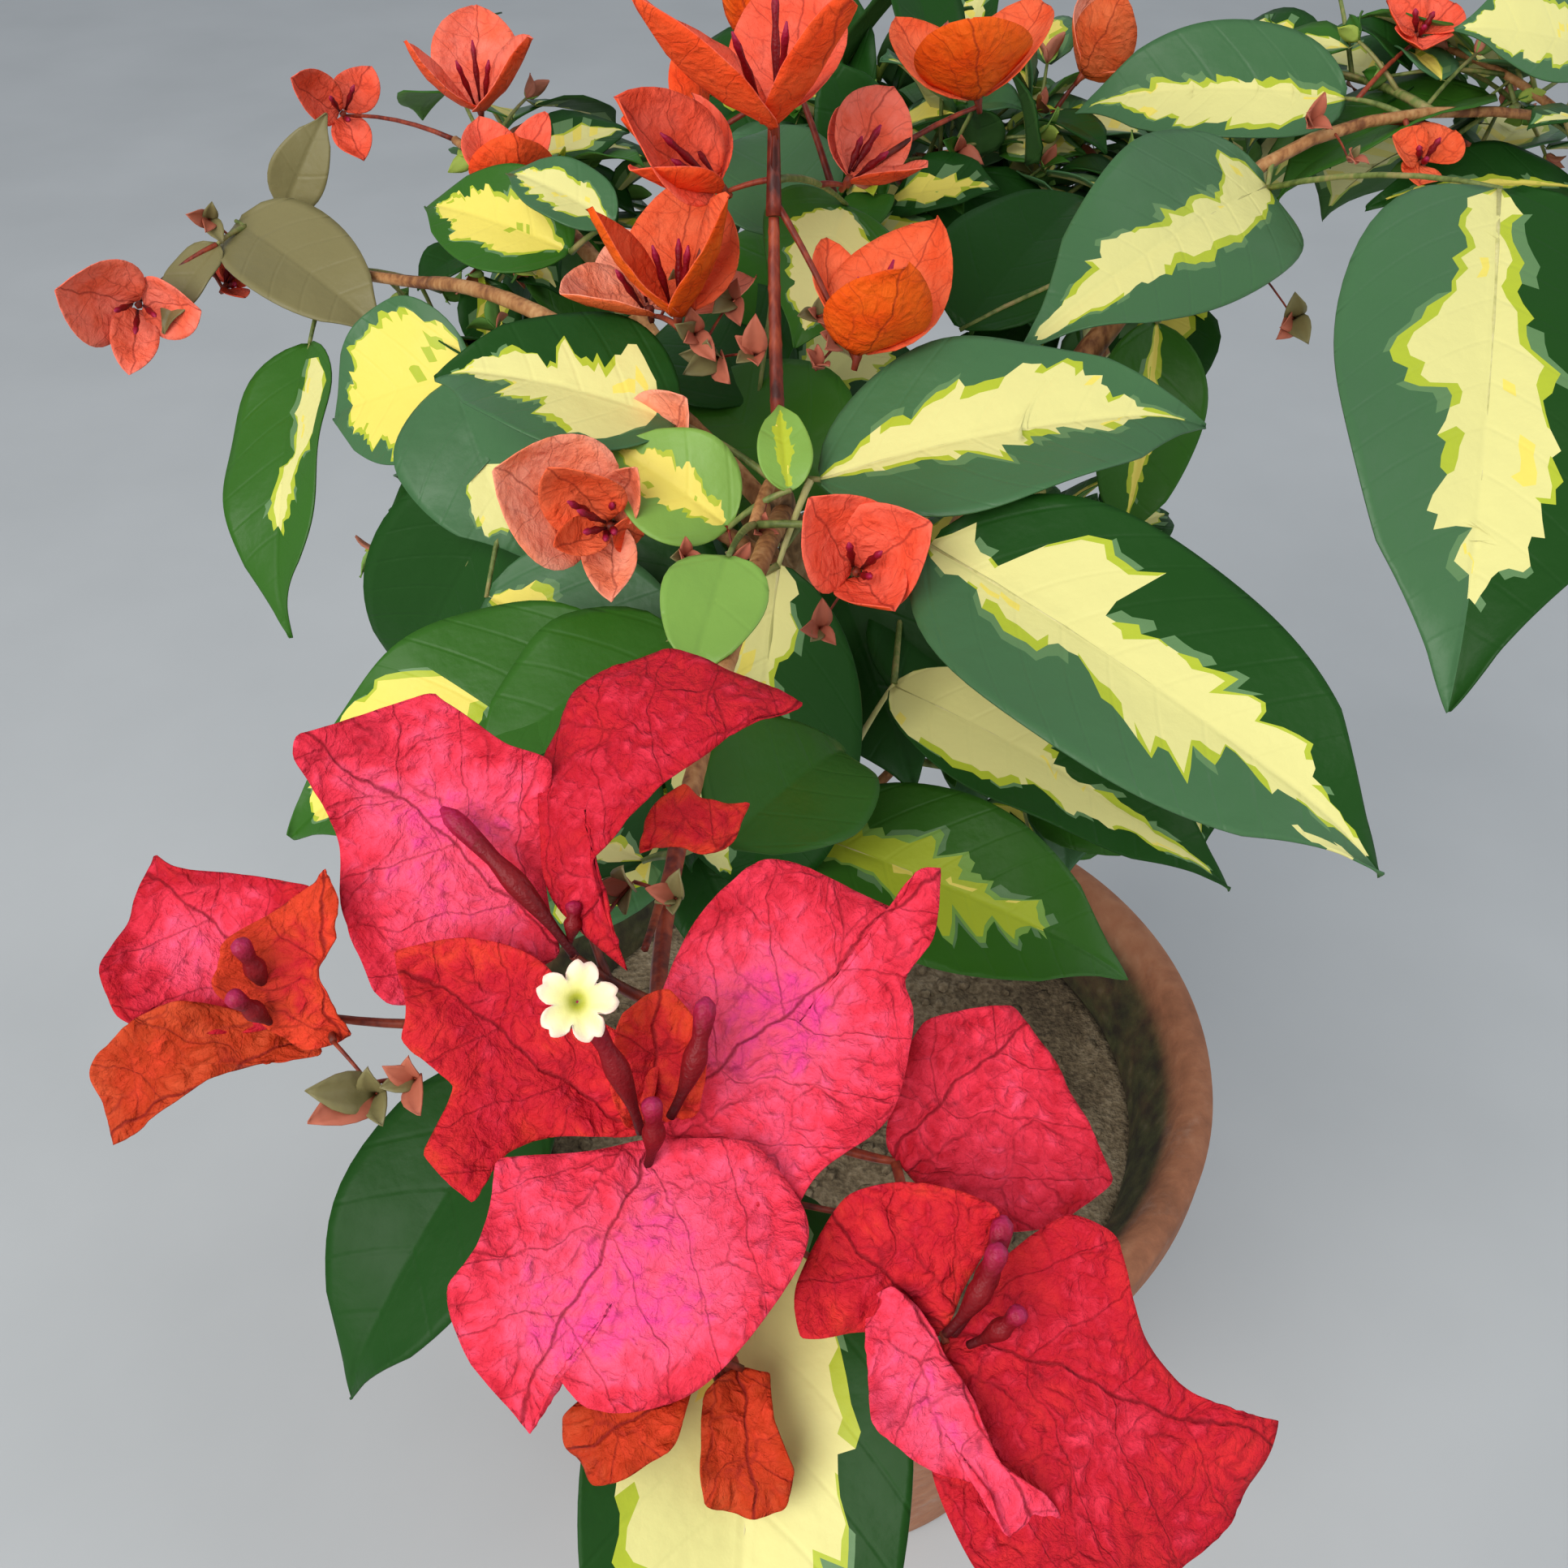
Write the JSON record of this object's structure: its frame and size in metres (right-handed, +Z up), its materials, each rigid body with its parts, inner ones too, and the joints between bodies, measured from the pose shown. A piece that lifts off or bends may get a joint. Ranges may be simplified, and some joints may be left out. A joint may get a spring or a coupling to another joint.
{
  "type": "potted bougainvillea bush",
  "caption": "Small bougainvillea bush with variegated leaves and coral papery bracts, growing in a tapered terracotta pot with a rolled rim.",
  "frame": {"origin": "centre of the pot's flat underside, on the surface that it stands on", "axes": "+Z up along the pot's axis; +Y away from the viewer of the picture; +X to the viewer's right"},
  "size_m": [0.4168, 0.4953, 0.5563],
  "materials": {
    "terracotta": "unglazed fired clay, dusty and matt",
    "soil": "dry crumbly sandy soil",
    "bark": "thin tan to red-brown bark",
    "foliage": "satin leaf, with papery coral bracts"
  },
  "bodies": {
    "root": {"pot": "terracotta", "soil": "soil", "trunk": "bark", "bough_flower": "bark", "bough_front": "bark", "bough_left": "bark", "bough_left_low": "bark", "bough_right": "bark", "bough_back": "bark", "bough_back_left": "bark", "bough_back_right": "bark", "foliage_top": "foliage", "foliage_front": "foliage", "foliage_crown": "foliage", "foliage_low_front": "foliage", "foliage_left": "foliage", "foliage_far_left": "foliage", "foliage_right": "foliage", "foliage_back": "foliage", "foliage_back_left": "foliage", "foliage_back_right": "foliage", "foliage_low_left": "foliage", "foliage_low_right": "foliage"}
  },
  "joints": []
}
